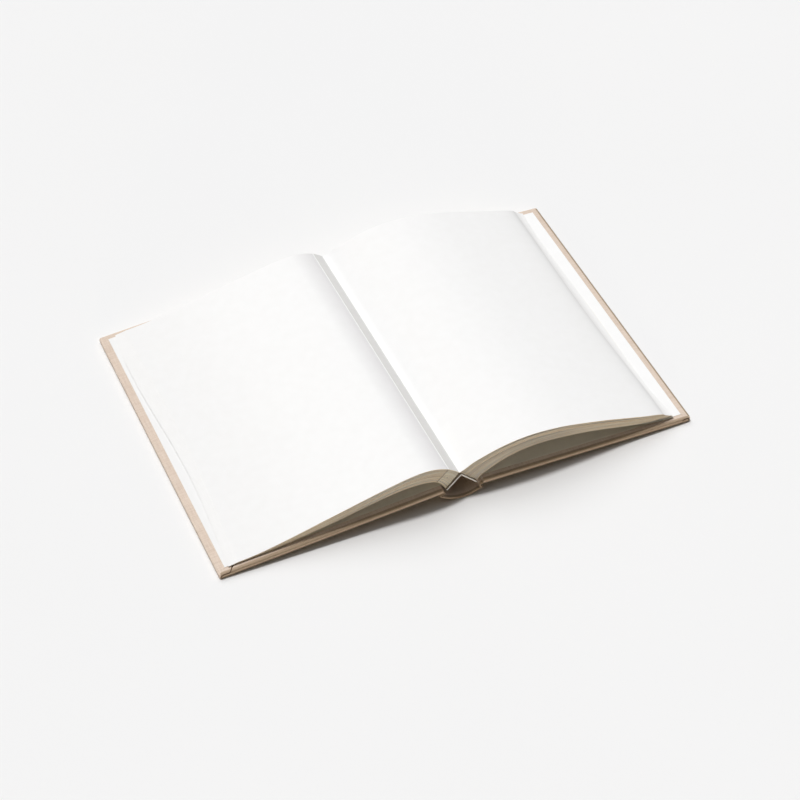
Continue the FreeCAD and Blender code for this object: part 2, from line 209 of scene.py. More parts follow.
def maths(tree, operation, a, b=None):
    n = tree.nodes.new("ShaderNodeMath")
    n.operation = operation
    for socket, value in zip(n.inputs, (a, b)):
        if value is None:
            continue
        if isinstance(value, (int, float)):
            socket.default_value = value
        else:
            tree.links.new(value, socket)
    return n.outputs["Value"]


def bump(tree, bsdf, height, distance, strength=1.0):
    n = tree.nodes.new("ShaderNodeBump")
    n.inputs["Strength"].default_value = strength
    n.inputs["Distance"].default_value = distance
    tree.links.new(height, n.inputs["Height"])
    tree.links.new(n.outputs["Normal"], bsdf.inputs["Normal"])


def coords(tree, which="Object"):
    return tree.nodes.new("ShaderNodeTexCoord").outputs[which]


def page_painted_shade(tree, colour):
    """Darken a colour by the painted shade stored on the sheet: 0 none, 1 the most."""
    tone = tree.nodes.new("ShaderNodeAttribute")
    tone.attribute_name = "page_painted_shade"
    return times(tree, colour, ramp(tree, tone.outputs["Fac"], [(0.0, (1.0, 1.0, 1.0)), (1.0, (0.5, 0.495, 0.49))]))


# store the painted shade of each point of a sheet
def set_painted_shade(obj, values):
    layer = obj.data.attributes.new("page_painted_shade", "FLOAT", "POINT")
    layer.data.foreach_set("value", np.asarray(values, np.float32).ravel())


def fibre_paper(name, dark, light, grain=0.00002, rough=0.88, with_painted_shade=False):
    """Uncoated paper: a faint cloudy formation and a fibre-fine surface."""
    m, tree, bsdf = material(name)
    where = coords(tree)
    colour = ramp(tree, noise(tree, where, 160.0, 4.0), [(0.3, dark), (0.7, light)])
    # the paper can be darkened by the painted shade stored on the sheet
    tree.links.new(page_painted_shade(tree, colour) if with_painted_shade else colour, bsdf.inputs["Base Color"])
    bsdf.inputs["Roughness"].default_value = rough
    bsdf.inputs["Specular IOR Level"].default_value = 0.12
    bump(tree, bsdf, noise(tree, where, 2600.0, 5.0, (1.0, 0.45, 1.0)), grain)
    return m


def open_paper(name, dark, light):
    """The open pages. u runs from the crease (0) down the bent strip to the gutter (10)."""
    m, tree, bsdf = material(name)
    where = coords(tree)
    split = tree.nodes.new("ShaderNodeSeparateXYZ")
    tree.links.new(coords(tree, "UV"), split.inputs["Vector"])
    place = maths(tree, "MULTIPLY", maths(tree, "ADD", split.outputs["X"], 60.0), 0.01)
    # painted shade: the left page darkens towards the crease, the bent strip down to the gutter is darker again, and a
    # thin line on the ridge kept white between them stands in for its highlight
    tint = ramp(tree, place, [
        (0.0, (1.0, 1.0, 1.0)), (0.44, (0.995, 0.995, 0.995)), (0.575, (0.865, 0.855, 0.86)),
        (0.594, (0.81, 0.80, 0.805)), (0.5965, (1.0, 1.0, 1.0)), (0.6035, (1.0, 1.0, 1.0)),
        (0.608, (0.79, 0.785, 0.77)), (0.692, (0.80, 0.795, 0.785)), (0.702, (1.0, 1.0, 1.0))])
    cloud = noise(tree, where, 160.0, 4.0)
    colour = times(tree, ramp(tree, cloud, [(0.3, dark), (0.7, light)]), tint)
    tree.links.new(page_painted_shade(tree, colour), bsdf.inputs["Base Color"])
    bsdf.inputs["Roughness"].default_value = 0.88
    bsdf.inputs["Specular IOR Level"].default_value = 0.12
    bump(tree, bsdf, noise(tree, where, 2600.0, 5.0, (1.0, 0.45, 1.0)), 0.00001)
    return m


def cut_edges(name, dark, light, crease=False):
    """The cut edges of leaves: warm, each leaf a little different, with streaks along it."""
    m, tree, bsdf = material(name)
    flat = coords(tree, "UV")
    each = noise(tree, flat, 1.0, 2.0, (0.012, 3.0, 1.0), 0.6)
    streak = noise(tree, coords(tree), 900.0, 4.0, (0.35, 1.0, 3.0), 0.6)
    tone = maths(tree, "ADD", maths(tree, "MULTIPLY", each, 0.75), maths(tree, "MULTIPLY", streak, 0.25))
    colour = ramp(tree, tone, [(0.42, dark), (0.57, light)])
    # painted shade on the cut edges: a dark line where each left leaf bends from its root into the arch, and the edge
    # past the bend a little darker than the root, as two differently turned faces would be lit
    if crease:
        split = tree.nodes.new("ShaderNodeSeparateXYZ")
        tree.links.new(flat, split.inputs["Vector"])
        place = maths(tree, "MULTIPLY", maths(tree, "ADD", split.outputs["X"], 20.0), 0.025)
        colour = times(tree, colour, ramp(tree, place, [
            (0.0, (0.97, 1.0, 1.0)), (0.482, (0.97, 1.0, 1.0)), (0.492, (0.50, 0.44, 0.40)),
            (0.506, (0.50, 0.44, 0.40)), (0.516, (0.90, 0.86, 0.80)), (1.0, (0.93, 0.90, 0.86))]))
    tree.links.new(colour, bsdf.inputs["Base Color"])
    bsdf.inputs["Roughness"].default_value = 0.92
    bsdf.inputs["Specular IOR Level"].default_value = 0.08
    bump(tree, bsdf, streak, 0.00004)
    return m


def book_cloth(name, pitch=0.42):
    """A plain-woven covering cloth laid out by its UVs, which are millimetres of cloth."""
    m, tree, bsdf = material(name)
    flat = coords(tree, "UV")
    split = tree.nodes.new("ShaderNodeSeparateXYZ")
    tree.links.new(flat, split.inputs["Vector"])
    wobble = noise(tree, flat, 0.6, 2.0)
    wave = []
    for axis in "XY":
        thread = maths(tree, "MULTIPLY", split.outputs[axis], math.pi / pitch)
        thread = maths(tree, "ADD", thread, maths(tree, "MULTIPLY", wobble, 2.0))
        wave.append(maths(tree, "SINE", thread))
    weave = maths(tree, "MULTIPLY", wave[0], wave[1])
    slub_a = noise(tree, flat, 1.0, 3.0, (0.10, 2.2, 1.0))
    slub_b = noise(tree, flat, 1.0, 3.0, (2.2, 0.10, 1.0))
    slubs = maths(tree, "ADD", slub_a, slub_b)
    fuzz = noise(tree, flat, 9.0, 2.0)
    tone = maths(tree, "ADD", maths(tree, "MULTIPLY", slubs, 0.5), maths(tree, "MULTIPLY", weave, 0.10))
    tone = maths(tree, "ADD", tone, maths(tree, "MULTIPLY", fuzz, 0.12))
    # the shade attribute stored on the cloth darkens it as painted shade: along its tail and fore-edges, in the corner
    # seams and over the outer face
    fold = tree.nodes.new("ShaderNodeAttribute")
    fold.attribute_name = "cloth_painted_shade"
    woven = ramp(tree, tone, [(0.34, CLOTH_DARK), (0.56, CLOTH_MID), (0.78, CLOTH_LIGHT)])
    inside = ramp(tree, fold.outputs["Fac"],
                  [(0.0, (1.0, 1.0, 1.0)), (0.25, (0.71, 0.66, 0.56)), (0.8, (0.16, 0.12, 0.09))])
    tree.links.new(times(tree, woven, inside), bsdf.inputs["Base Color"])
    bsdf.inputs["Roughness"].default_value = 0.86
    bsdf.inputs["Specular IOR Level"].default_value = 0.18
    bsdf.inputs["Sheen Weight"].default_value = 0.12
    bsdf.inputs["Sheen Roughness"].default_value = 0.6
    height = maths(tree, "ADD", maths(tree, "MULTIPLY", weave, 0.5), maths(tree, "MULTIPLY", slubs, 0.8))
    height = maths(tree, "ADD", height, maths(tree, "MULTIPLY", fuzz, 0.4))
    bump(tree, bsdf, height, 0.00010, 0.9)
    return m


def speckled(name, dark, mid, light, scale=900.0, rough=0.9):
    """Pressed grey board or card: pulp with darker and lighter specks."""
    m, tree, bsdf = material(name)
    where = coords(tree)
    speck = noise(tree, where, scale, 6.0, None, 0.75)
    tree.links.new(ramp(tree, speck, [(0.3, dark), (0.5, mid), (0.72, light)]), bsdf.inputs["Base Color"])
    bsdf.inputs["Roughness"].default_value = rough
    bsdf.inputs["Specular IOR Level"].default_value = 0.1
    bump(tree, bsdf, speck, 0.00005)
    return m


CLOTH_DARK = (0.62, 0.49, 0.39)
CLOTH_MID = (0.75, 0.62, 0.52)
CLOTH_LIGHT = (0.83, 0.715, 0.61)

page_white = fibre_paper("page_paper", (0.925, 0.92, 0.912), (0.94, 0.936, 0.93), 0.00001, with_painted_shade=True)
open_white = open_paper("open_page_paper", (0.925, 0.922, 0.916), (0.94, 0.938, 0.934))
leaf_edge = cut_edges("leaf_cut_edge", (0.79, 0.635, 0.45), (1.0, 0.94, 0.78), True)
open_edge = cut_edges("open_page_cut_edge", (0.95, 0.80, 0.58), (1.0, 0.93, 0.78))
fore_edge = cut_edges("leaf_fore_edge", (0.86, 0.845, 0.815), (0.94, 0.93, 0.905))
end_paper = fibre_paper("endpaper", (0.90, 0.85, 0.75), (0.93, 0.885, 0.79), 0.00002)
end_edge = cut_edges("endpaper_cut_edge", (0.60, 0.55, 0.46), (0.76, 0.71, 0.62))
# the spine lining is white paper, as its cut edges are; its face is coloured dark brown as painted shade of the hollow
# it lies in
shaded_lining_paper = fibre_paper("shaded_lining_paper", (0.36, 0.30, 0.235), (0.44, 0.375, 0.30), 0.00006)
lining_edge = cut_edges("lining_cut_edge", (0.86, 0.85, 0.82), (0.96, 0.95, 0.93))
cloth = book_cloth("book_cloth")
grey_board = speckled("grey_board", (0.30, 0.28, 0.25), (0.40, 0.375, 0.335), (0.50, 0.47, 0.42))
inlay_card = speckled("inlay_card", (0.10, 0.065, 0.045), (0.145, 0.098, 0.07), (0.20, 0.142, 0.10), 1300.0)


# ---------------------------------------------------------------------------
# The leaves
# Each half is a fan of thin leaves between an under curve, which arches over
# the cover, and a top curve, which is the open page. x is mirrored for the
# right half, so both are built from the spine out towards -x.
# ---------------------------------------------------------------------------
LEFT = {
    "name": "left",
    "sign": 1.0,
    "root": [(-10.7, 9.5), (-11.9, 11.9), (-13.9, 14.9), (-17.0, 17.9)],
    "root_top": [(-2.05, 19.9), (-4.9, 22.5), (-9.4, 25.7)],
    "under": [(-17.0, 17.9), (-21.5, 19.9), (-31.4, 21.1), (-41.3, 20.8), (-57.6, 18.2), (-73.8, 14.7),
              (-90.0, 11.5), (-106.1, 9.0), (-120.0, 7.1), (-131.7, 6.05), (-142.6, 5.25), (-149.8, 4.8)],
    "top_tail": [(-9.4, 26.0), (-14.9, 28.7), (-22.9, 30.5), (-30.7, 30.5), (-41.1, 28.9), (-58.0, 25.1),
                 (-73.6, 21.2), (-89.1, 17.3), (-105.8, 13.1), (-125.1, 8.7), (-135.3, 6.9), (-143.3, 6.1)],
    "top_head": [(-10.0, 24.9), (-14.5, 26.7), (-19.9, 28.0), (-27.0, 28.5), (-39.9, 26.9), (-52.0, 24.4),
                 (-66.0, 21.4), (-78.5, 18.7), (-97.2, 14.35), (-119.3, 9.3), (-132.0, 7.1), (-143.3, 6.1)],
    "edge_top": [(-104.5, -145.4), (-94, -145.2), (-74, -143.9), (-42, -142.2), (0, -140.2), (37.6, -141.0),
                 (91, -141.6), (104.5, -142.2)],
    "edge_under": [(-104.5, -151.6), (-93.5, -151.3), (-76, -149.6), (-40, -147.6), (-6, -148.4), (36, -150.3),
                   (74.5, -151.6), (104.5, -149.0)],
}
RIGHT = {
    "name": "right",
    "sign": -1.0,
    "root": None,
    "under": [(-10.3, 7.8), (-12.4, 10.7), (-15.6, 13.0), (-20.0, 15.4), (-25.3, 17.9), (-35.3, 21.0),
              (-45.4, 22.4), (-55.6, 22.5), (-65.9, 21.5), (-79.8, 19.3), (-93.9, 16.2), (-108.2, 12.5),
              (-122.6, 9.0), (-133.3, 6.85), (-141.0, 5.4), (-145.7, 4.7)],
    "top_tail": [(1.9, 19.9), (-1.3, 21.4), (-5.1, 23.7), (-9.1, 25.6), (-17.0, 28.3), (-24.9, 30.5),
                 (-36.9, 32.4), (-49.1, 32.7), (-65.5, 31.0), (-78.0, 28.3), (-94.9, 23.9), (-107.8, 20.0),
                 (-120.8, 15.9), (-129.5, 13.2), (-134.5, 11.75), (-138.6, 10.3)],
    "top_head": [(2.9, 19.8), (-1.0, 21.2), (-5.1, 23.4), (-12.2, 26.5), (-20.8, 29.5), (-29.5, 31.9),
                 (-38.2, 33.1), (-46.9, 33.35), (-55.6, 33.0), (-66.0, 31.6), (-77.7, 29.2), (-92.0, 25.0),
                 (-104.6, 21.0), (-118.3, 16.6), (-129.5, 13.0), (-134.5, 11.2), (-138.6, 9.3)],
    "edge_top": [(-104.5, -139.0), (-100, -139.1), (-80, -139.2), (-20, -137.2), (20, -137.0), (73, -138.0),
                 (104.5, -138.4)],
    "edge_under": [(-104.5, -147.2), (-98, -146.2), (-82, -144.9), (-18, -144.9), (44, -144.3), (75, -143.9), (104.5, -145.8)],
}


def across(side, y):
    """The top curve at this y, between the tail and head ones."""
    f = (np.clip(y, -PAGE, PAGE) + PAGE) / (2 * PAGE)
    return side["tail_curve"] * (1 - f) + side["head_curve"] * f


def edge_x(points, y):
    p = np.array(points, float)
    return np.polyval(np.polyfit(p[:, 0], p[:, 1], 5), np.clip(y, -PAGE, PAGE))


DENSE = 700
FR = np.linspace(0, 1, DENSE)
for side in (LEFT, RIGHT):
    side["under_curve"] = at(spline(side["under"]), FR)
    side["tail_curve"] = at(spline(side["top_tail"]), FR)
    side["head_curve"] = at(spline(side["top_head"]), FR)
    if side["root"]:
        side["root_curve"] = at(spline(side["root"]), FR)
        side["root_top_curve"] = at(spline(side["root_top"]), FR)


def follow(side, y, share, s, end):
    """Points (x, z) of the leaf lying at these shares of the fan (0 under, 1 top), at
    lengths s (0 spine, 1 fore-edge) of a leaf that is cut off at x = end."""
    top = across(side, y)
    long = np.linspace(0, 1.12, 560)
    share_long = np.interp(np.clip(long, 0, 1), s, share)
    u, t = at(side["under_curve"], long), at(top, long)
    line = u * (1 - share_long)[:, None] + t * share_long[:, None]
    stop = np.interp(-end, -line[:, 0][150:], long[150:])
    f = s * stop
    w = np.interp(f, long, share_long)[:, None]
    out = at(side["under_curve"], f) * (1 - w) + at(top, f) * w
    # the right half's tail corner is sprung a little off the cover
    sprung = side["sprung"] * smooth(-72, -PAGE, y) * smooth(0.86, 1.0, f)
    out[:, 1] += sprung * (1.0 - 0.75 * w[:, 0])
    return out


LEFT.update(bevel=1.0, curl=0.02, sprung=0.0)
RIGHT.update(bevel=1.7, curl=0.14, sprung=1.5)
LEAVES = 26
S = np.concatenate([np.linspace(0, 0.12, 8), np.linspace(0.16, 0.9, 24), [0.93, 0.955, 0.975, 0.99, 0.9965, 1.0]])
ROOT = np.linspace(0, 1, 7)[:-1]
ROWS = np.array([-PAGE, -96, -78, -52, -26, 0, 26, 52, 78, 96, PAGE])


def fan(side):
    """Gaps between leaves, uneven at the spine, over the arch and at the fore-edge, at tail and head."""
    gaps = np.zeros((3, 2, LEAVES))
    for i, spread in enumerate((0.25, 0.62, 0.35)):
        base = rng.normal(0, spread, LEAVES)
        for j in (0, 1):
            gaps[i, j] = np.exp(base + rng.normal(0, spread * 0.35, LEAVES))
    for k in range(3, LEAVES, 5):
        gaps[1, :, k] *= 2.3
    edges = np.concatenate([np.zeros((3, 2, 1)), np.cumsum(gaps, 2)], 2)
    return edges / edges[..., -1:]


def leaf_shares(edges, k, y):
    f = (y + PAGE) / (2 * PAGE)
    at_y = edges[:, 0, k] * (1 - f) + edges[:, 1, k] * f
    mid = np.exp(-((S - 0.33) / 0.24) ** 2) - np.exp(-(0.33 / 0.24) ** 2) * (1 - S)
    mid = np.clip(mid, 0, 1)
    near = (1 - mid) * (1 - smooth(0.15, 0.8, S))
    far = (1 - mid) * smooth(0.15, 0.8, S)
    return near * at_y[0] + mid * at_y[1] + far * at_y[2]


def gutter_at(y):
    """Where the opening's two pages meet, as (x, z)."""
    f = (y + PAGE) / (2 * PAGE)
    return np.array([-2.05, 19.9]) * (1 - f) + np.array([-3.05, 19.75]) * f


def leaf(side, edges, k):
    """One leaf of the fan as a closed sheet."""
    fore, tail, head = rng.normal(0, 0.16), rng.normal(0, 0.07), rng.normal(0, 0.07)
    wave = rng.normal(0, 0.18, 4)
    top, low = [], []
    arcs = []
    for y in ROWS:
        a, b = leaf_shares(edges, k, y), leaf_shares(edges, k + 1, y)
        centre = 1 - (1 - (k + 0.5) / LEAVES) ** side["bevel"]
        out = edge_x(side["edge_under"], y) * (1 - centre) + edge_x(side["edge_top"], y) * centre
        out += fore + sum(w * math.sin(y / PAGE * (i + 1) + w * 9) for i, w in enumerate(wave)) * 0.5
        p, q = follow(side, y, a, S, out), follow(side, y, b, S, out)
        if side["root"]:
            fa, fb = a[0], b[0]
            ra = side["root_curve"] * (1 - fa) + side["root_top_curve"] * fa
            rb = side["root_curve"] * (1 - fb) + side["root_top_curve"] * fb
            pr, qr = at(ra, ROOT), at(rb, ROOT)
            slip = (gutter_at(y) - side["root_top_curve"][0]) * (1 - ROOT[:, None])
            pr = pr + (p[0] - ra[-1]) * ROOT[:, None] + slip * fa
            qr = qr + (q[0] - rb[-1]) * ROOT[:, None] + slip * fb
            p, q = np.concatenate([pr, p]), np.concatenate([qr, q])
        gap = np.linalg.norm(q - p, axis=1)
        thin = (q - p) * np.minimum(0.85, 0.30 / np.maximum(gap, 1e-6))[:, None]
        if k == LEAVES - 1:
            p = q - thin        # the last leaf lies against the open page
        else:
            q = p + thin
        p[-1, 1] -= side["curl"]
        q[-1, 1] -= side["curl"]
        yy = y + (tail if y < 0 else head) * (abs(y) > 100)
        arc = lengths(q)
        arcs.append(arc - arc[len(ROOT)] if side["root"] else arc + 6.0)
        low.append(np.stack([p[:, 0] * side["sign"], np.full(len(p), yy), p[:, 1]], -1))
        top.append(np.stack([q[:, 0] * side["sign"], np.full(len(q), yy), q[:, 1]], -1))
    top, low = np.array(top).transpose(1, 0, 2), np.array(low).transpose(1, 0, 2)
    along = np.array(arcs).T
    if side["sign"] > 0:
        top, low, along = top[:, ::-1], low[:, ::-1], along[:, ::-1]
    uv = np.stack([along, np.full(along.shape, 0.71 * k)], -1)
    return closed_sheet(top, low, uv)


for side in (LEFT, RIGHT):
    edges = fan(side)
    side["edges"] = edges
    verts, faces, rim, uv = join([leaf(side, edges, k) for k in range(LEAVES)])
    body = make(f"leaves_{side['name']}", verts, faces, [page_white, leaf_edge, fore_edge], rim, uv)
    # painted shade: on the right half it grows towards the upper leaves and darkens the fore-edge bevel, which faces
    # away from the light; the left half's leaves are all a little darker
    each = 0.42 * np.linspace(0, 1, LEAVES) ** 1.6 if side is RIGHT else np.full(LEAVES, 0.09)
    set_painted_shade(body, np.repeat(each, len(verts) // LEAVES))
    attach(body, "block")
    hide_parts("text_block")


# The open pages: one folded sheet, from the left fore-edge over the crease, down into
# the gutter and out to the right fore-edge.
PAGE_ROWS = np.concatenate([np.linspace(-PAGE - 0.16, -98, 4), np.linspace(-90, 90, 25),
                            np.linspace(98, PAGE + 0.1, 4)])
THICK = 0.34


def open_page(y):
    """The upper line of the opening at this y, as (x, z) points from left to right."""
    line = []
    s = np.concatenate([np.linspace(0, 0.03, 12), np.linspace(0.035, 0.15, 20), np.linspace(0.16, 0.96, 90),
                        np.linspace(0.965, 1, 10)])
    full = np.ones(len(s))
    left = follow(LEFT, y, full, s, edge_x(LEFT["edge_top"], y) + 0.2)
    ridge = LEFT["root_top_curve"]
    root = at(ridge, np.linspace(0, 1, 26)[:-1])
    gutter = gutter_at(y)
    blend = np.linspace(0, 1, 26)[:-1][:, None]
    root = root + (left[0] - ridge[-1]) * blend + (gutter - ridge[0]) * (1 - blend)
    right = follow(RIGHT, y, full, s, edge_x(RIGHT["edge_top"], y) + 0.2)
    right[:, 0] *= -1
    right = right + (gutter - right[0]) * (1 - smooth(0, 0.03, s))[:, None]
    line = np.concatenate([left[::-1], root[::-1][:-1], right])
    # the fold at the ridge stands up a little, as a crease does
    d = lengths(line)
    at_ridge = d[len(left) - 1]
    normal = np.gradient(line, axis=0)
    normal /= np.linalg.norm(normal, axis=1)[:, None]
    normal = np.stack([-normal[:, 1], normal[:, 0]], -1)
    line = line + normal * (0.28 * np.exp(-((d - at_ridge) / 0.45) ** 2))[:, None]
    at_gutter = d[len(left) + len(root) - 1]
    u = np.where(d < at_ridge, d - at_ridge,
                 np.where(d < at_gutter, (d - at_ridge) / (at_gutter - at_ridge) * 10, 10 + d - at_gutter))
    return line, normal, u


top, low, us = [], [], []
for y in PAGE_ROWS:
    line, normal, u = open_page(y)
    us.append(u)
    line = line + normal * 0.05
    lower = line - normal * THICK
    top.append(np.stack([line[:, 0], np.full(len(line), y), line[:, 1]], -1))
    low.append(np.stack([lower[:, 0], np.full(len(line), y), lower[:, 1]], -1))
top, low = np.array(top).transpose(1, 0, 2), np.array(low).transpose(1, 0, 2)
uv = np.stack([np.array(us).T, top[..., 1]], -1)
verts, faces, rim, uv = closed_sheet(top, low, uv)
opening = make("open_pages", verts, faces, [open_white, open_edge, fore_edge], rim, uv, sharp=40)
# painted shade on the open pages: darker towards the left fore-edge, and more and more so towards the right fore-edge
painted_shades = []
for j in range(top.shape[1]):
    arc = lengths(top[:, j])
    left_off, right_off = arc, arc[-1] - arc
    painted_shades.append(0.09 * np.exp(-(left_off / 52) ** 2) + 0.06 * np.exp(-right_off / 30)
                 + 0.13 * np.exp(-right_off / 8) + 0.26 * np.exp(-right_off / 1.6))
painted_shades = np.array(painted_shades).T
set_painted_shade(opening, np.concatenate([painted_shades.reshape(-1), painted_shades.reshape(-1)]))
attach(opening, "block")
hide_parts("text_block")


# ---------------------------------------------------------------------------
# The case: each half of the covering cloth is one sheet, wrapped round its board on
# three edges, folded at the joint and running on to the middle of the spine.
# A point is placed by q (length along the cloth, from the fore-edge), y and h (height
# above the cloth's outer face, towards the pages).
# ---------------------------------------------------------------------------
FRONT = {
    "name": "front", "sign": 1.0, "base": (-158.8, -0.0496), "tilt": math.radians(3.67), "width": 145.3,
    "joint": [(-13.798, 9.251), (-13.52, 9.262), (-13.33, 9.20), (-13.30, 9.08), (-13.44, 8.98),
              (-14.1, 8.80), (-15.1, 8.60), (-15.95, 8.40), (-16.32, 8.16), (-16.45, 7.80), (-16.33, 7.42),
              (-15.95, 7.02), (-14.2, 5.35), (-11.4, 3.35), (-8.5, 1.86), (-5.6, 0.87), (-2.6, 0.22), (0.0, 0.0)],
    "tip": 9, "card": (-14.4, 0.2), "margin": 5.2, "seam_wide": 0.31,
    "seam": [(10.9, -4.6), (9.0, -2.3), (7.7, -0.5), (7.0, 0.5), (6.2, 0.75), (4.5, 0.55), (3.0, 0.55), (1.9, 0.95),
             (1.15, 1.7), (1.0, 2.4)],
}
BACK = {
    "name": "back", "sign": -1.0, "base": (-157.5, -0.035), "tilt": math.radians(2.583), "width": 144.7,
    "joint": [(-12.946, 6.486), (-12.55, 6.50), (-12.1, 6.42), (-11.72, 6.18), (-11.50, 5.82), (-11.52, 5.40),
              (-11.86, 4.92), (-12.3, 4.42), (-12.62, 4.06), (-12.74, 3.74), (-12.60, 3.44), (-12.15, 3.20),
              (-9.8, 2.0), (-6.4, 0.8), (-3.3, 0.18), (0.0, 0.0)],
    "tip": 9, "card": (-10.2, 0.2), "margin": 4.9, "seam_wide": 0.36,
    "seam": [(5.6, 1.2), (4.9, 0.65), (3.8, 0.3), (2.6, 0.25), (1.7, 0.6), (1.15, 1.4), (1.0, 2.3)],
}
EDGE_R = 0.8
CORNER_R = 1.3
TURN = 15.0
FULL = 2 * CLOTH + BOARD


def lay(case, q, y, h):
    """World points in mm for cloth coordinates."""
    q, y, h = np.broadcast_arrays(np.asarray(q, float), np.asarray(y, float), np.asarray(h, float))
    a, (bx, bz) = case["tilt"], case["base"]
    x = bx + q * math.cos(a) - h * math.sin(a)
    z = bz + q * math.sin(a) + h * math.cos(a)
    beyond = q > case["width"]
    if beyond.any():
        s = q[beyond] - case["width"]
        path, along = case["path"], case["path_s"]
        px, pz = np.interp(s, along, path[:, 0]), np.interp(s, along, path[:, 1])
        nx, nz = np.interp(s, along, case["path_n"][:, 0]), np.interp(s, along, case["path_n"][:, 1])
        k = np.interp(s, along, case["pinch"])
        x, z = x.copy(), z.copy()
        x[beyond], z[beyond] = px + nx * h[beyond] * k, pz + nz * h[beyond] * k
    return np.stack([x * case["sign"], y, z], -1)


def turned_height(case, q):
    """How high the turned-in cloth lies at the tail and head, over the board, the folds and the spine card."""
    s = np.asarray(q, float) - case["width"]
    x = np.interp(s, case["path_s"], case["path"][:, 0])
    folds = 0.98
    carded = smooth(case["card"][0] - 0.8, case["card"][0] + 0.5, x) * (s > case["tip_s"])
    spine = folds + (1.55 - folds) * carded
    return FULL + (spine - FULL) * smooth(-0.06, 0.22, s)


for case in (FRONT, BACK):
    path = spline(case["joint"], 4000)
    along = lengths(path)
    tangent = np.gradient(path, axis=0)
    tangent /= np.linalg.norm(tangent, axis=1)[:, None]
    case["path"], case["path_s"] = path, along
    case["path_n"] = np.stack([-tangent[:, 1], tangent[:, 0]], -1)
    tip = np.argmin(np.linalg.norm(path - np.array(case["joint"][case["tip"]]), axis=1))
    case["tip_s"] = along[tip]
    case["pinch"] = 1 - 0.30 * np.exp(-((along - along[tip]) / 0.7) ** 2)
    case["end"] = case["width"] + along[-1]


WALL = 13
TOP_ROWS = [1.35] + list(np.arange(1.5, 5.6, 0.16)) + [6.5, 8.0, 10.0, 12.5, TURN]


def section(full):
    """Inset and height of the outer and inner lines of the cloth from 15 mm in on the outer face,
    round the edge, to the turned-in end. full is the height over both layers."""
    r = np.minimum(EDGE_R, full * 0.46)
    ri = np.maximum(r - CLOTH, 0.04)
    inner = CLOTH
    # the layer is thinner where two of them lie on each other with nothing between
    t = np.minimum(inner, full * 0.46)
    ang = np.radians([0, 18, 36, 54, 72, 90])
    outer, inside = [], []
    for d in (15.0, 10.0, 6.0, 3.2, 2.0, 1.35):
        outer.append((d + 0 * full, 0 * full)), inside.append((d + 0 * full, t))
    for a in ang:
        outer.append((r - r * np.sin(a), r - r * np.cos(a)))
        inside.append((r - ri * np.sin(a), r - ri * np.cos(a)))
    for f in np.linspace(0, 1, WALL + 2)[1:-1]:
        z = r + (full - 2 * r) * f
        outer.append((0 * full, z)), inside.append((r - ri, z))
    for a in ang[::-1]:
        outer.append((r - r * np.sin(a), full - r + r * np.cos(a)))
        inside.append((r - ri * np.sin(a), full - r + ri * np.cos(a)))
    for d in TOP_ROWS:
        outer.append((d + 0 * full, full)), inside.append((d + 0 * full, full - t))
    return outer, inside


ROWS_IN_SECTION = 6 + 6 + WALL + 6 + len(TOP_ROWS)
TOP_EDGE = 6 + 6 + WALL     # the first row of the upper rounding
SEAM = 1.35     # rows this far in or more meet in one point at a corner


def corner_d(d, near):
    """How far from the cover's corner a sample starts, on the line that lies d in from the edge."""
    return np.maximum(d, CORNER_R)


